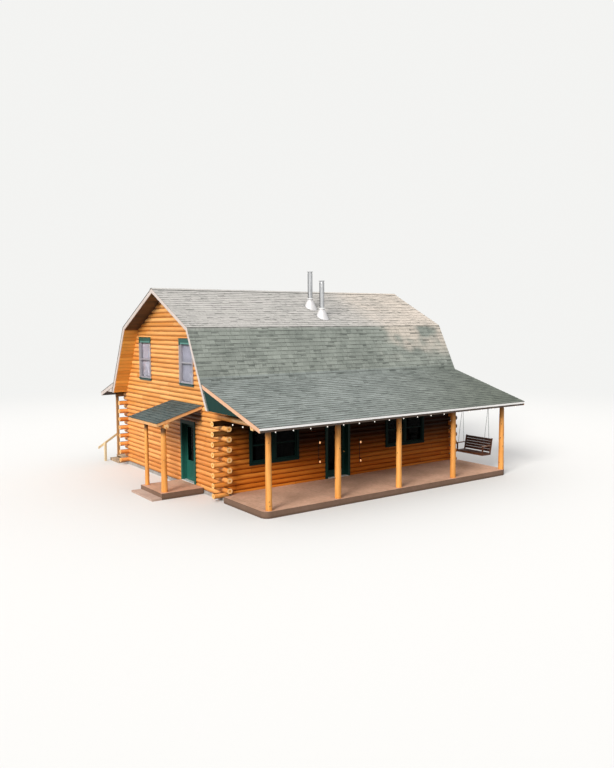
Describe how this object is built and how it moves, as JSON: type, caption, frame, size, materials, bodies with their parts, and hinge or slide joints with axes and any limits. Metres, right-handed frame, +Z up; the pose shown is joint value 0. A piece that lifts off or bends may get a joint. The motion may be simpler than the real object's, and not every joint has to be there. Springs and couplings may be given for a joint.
{
  "type": "log cabin",
  "caption": "Log cabin with passing log corners, a gambrel roof, a full-width porch, a small side porch, a rear deck, opening doors and a hanging porch swing.",
  "frame": {"origin": "centre of the log walls' plan at ground level, on the underside of the foundation slab", "axes": "+X along the porch wall, -Y towards the front porch, +Z up"},
  "size_m": [13.544, 13.209, 8.1002],
  "materials": {
    "concrete": "brushed concrete",
    "step_stone": "rough",
    "floor_boards": "satin",
    "wall_logs": "stained satin",
    "post_logs": "stained satin",
    "roof_boards": "stained satin",
    "shingles": "granular asphalt",
    "pale_trim": "painted matt",
    "stained_boards": "stained satin",
    "green_paint": "painted satin",
    "deck_boards": "weathered",
    "window_glass": "clear",
    "brass": "satin",
    "flue_steel": "satin",
    "flashing": "dull",
    "chain_steel": "zinc plated",
    "swing_wood": "stained satin",
    "cord_jacket": "matt",
    "bulb_glass": "frosted"
  },
  "bodies": {
    "cabin": {"back_door": "green_paint", "back_wall": "wall_logs", "door_hinge_pins": "brass", "flue_boots": "flashing", "flue_pipes": "flue_steel", "foundation_slab": "concrete", "front_door_frame": "green_paint", "front_wall_left": "wall_logs", "front_wall_right": "wall_logs", "front_wall_top": "wall_logs", "ground_floor": "floor_boards", "ground_window_frames": "green_paint", "left_gable": "wall_logs", "left_wall_back": "wall_logs", "left_wall_front": "wall_logs", "left_wall_top": "wall_logs", "loft_floor": "floor_boards", "loft_window_frames": "green_paint", "main_roof_shingles": "shingles", "porch_end_panels": "green_paint", "porch_header": "post_logs", "porch_posts": "post_logs", "porch_rake_boards": "stained_boards", "porch_roof": "roof_boards", "porch_roof_shingles": "shingles", "porch_slab": "concrete", "rear_deck": "deck_boards", "rear_handrail": "deck_boards", "rear_porch_frame": "deck_boards", "rear_porch_roof": "roof_boards", "rear_porch_shingles": "shingles", "rear_step": "deck_boards", "right_gable": "wall_logs", "right_wall": "wall_logs", "roof_back_lower": "roof_boards", "roof_back_upper": "roof_boards", "roof_front_lower": "roof_boards", "roof_front_upper": "roof_boards", "roof_trim": "pale_trim", "side_door_frame": "green_paint", "side_porch_fascia": "stained_boards", "side_porch_header": "post_logs", "side_porch_posts": "post_logs", "side_porch_roof": "roof_boards", "side_porch_shingles": "shingles", "side_porch_slab": "concrete", "side_step": "step_stone", "string_light_bulbs": "bulb_glass", "string_light_cord": "cord_jacket", "swing_hangers": "chain_steel", "window_glass": "window_glass"},
    "front_door": {"front_door": "green_paint", "front_door_glass": "window_glass", "front_door_fittings": "brass"},
    "side_door": {"side_door": "green_paint", "side_door_glass": "window_glass", "side_door_fittings": "brass"},
    "swing": {"swing_frame": "swing_wood", "swing_slats": "swing_wood", "swing_chains": "chain_steel"}
  },
  "joints": [
    {"name": "front_door_hinge", "type": "hinge", "parent": "cabin", "child": "front_door", "pos_m": [-1.0755, -4.055, 1.3], "axis": [0, 0, 1], "range_deg": [0, 95]},
    {"name": "side_door_hinge", "type": "hinge", "parent": "cabin", "child": "side_door", "pos_m": [-5.275, -1.1695, 1.3], "axis": [0, 0, 1], "range_deg": [0, 95]},
    {"name": "swing_hinge", "type": "hinge", "parent": "cabin", "child": "swing", "pos_m": [5.41, -5.635, 2.6799], "axis": [0, 1, 0], "range_deg": [-20, 20]}
  ]
}
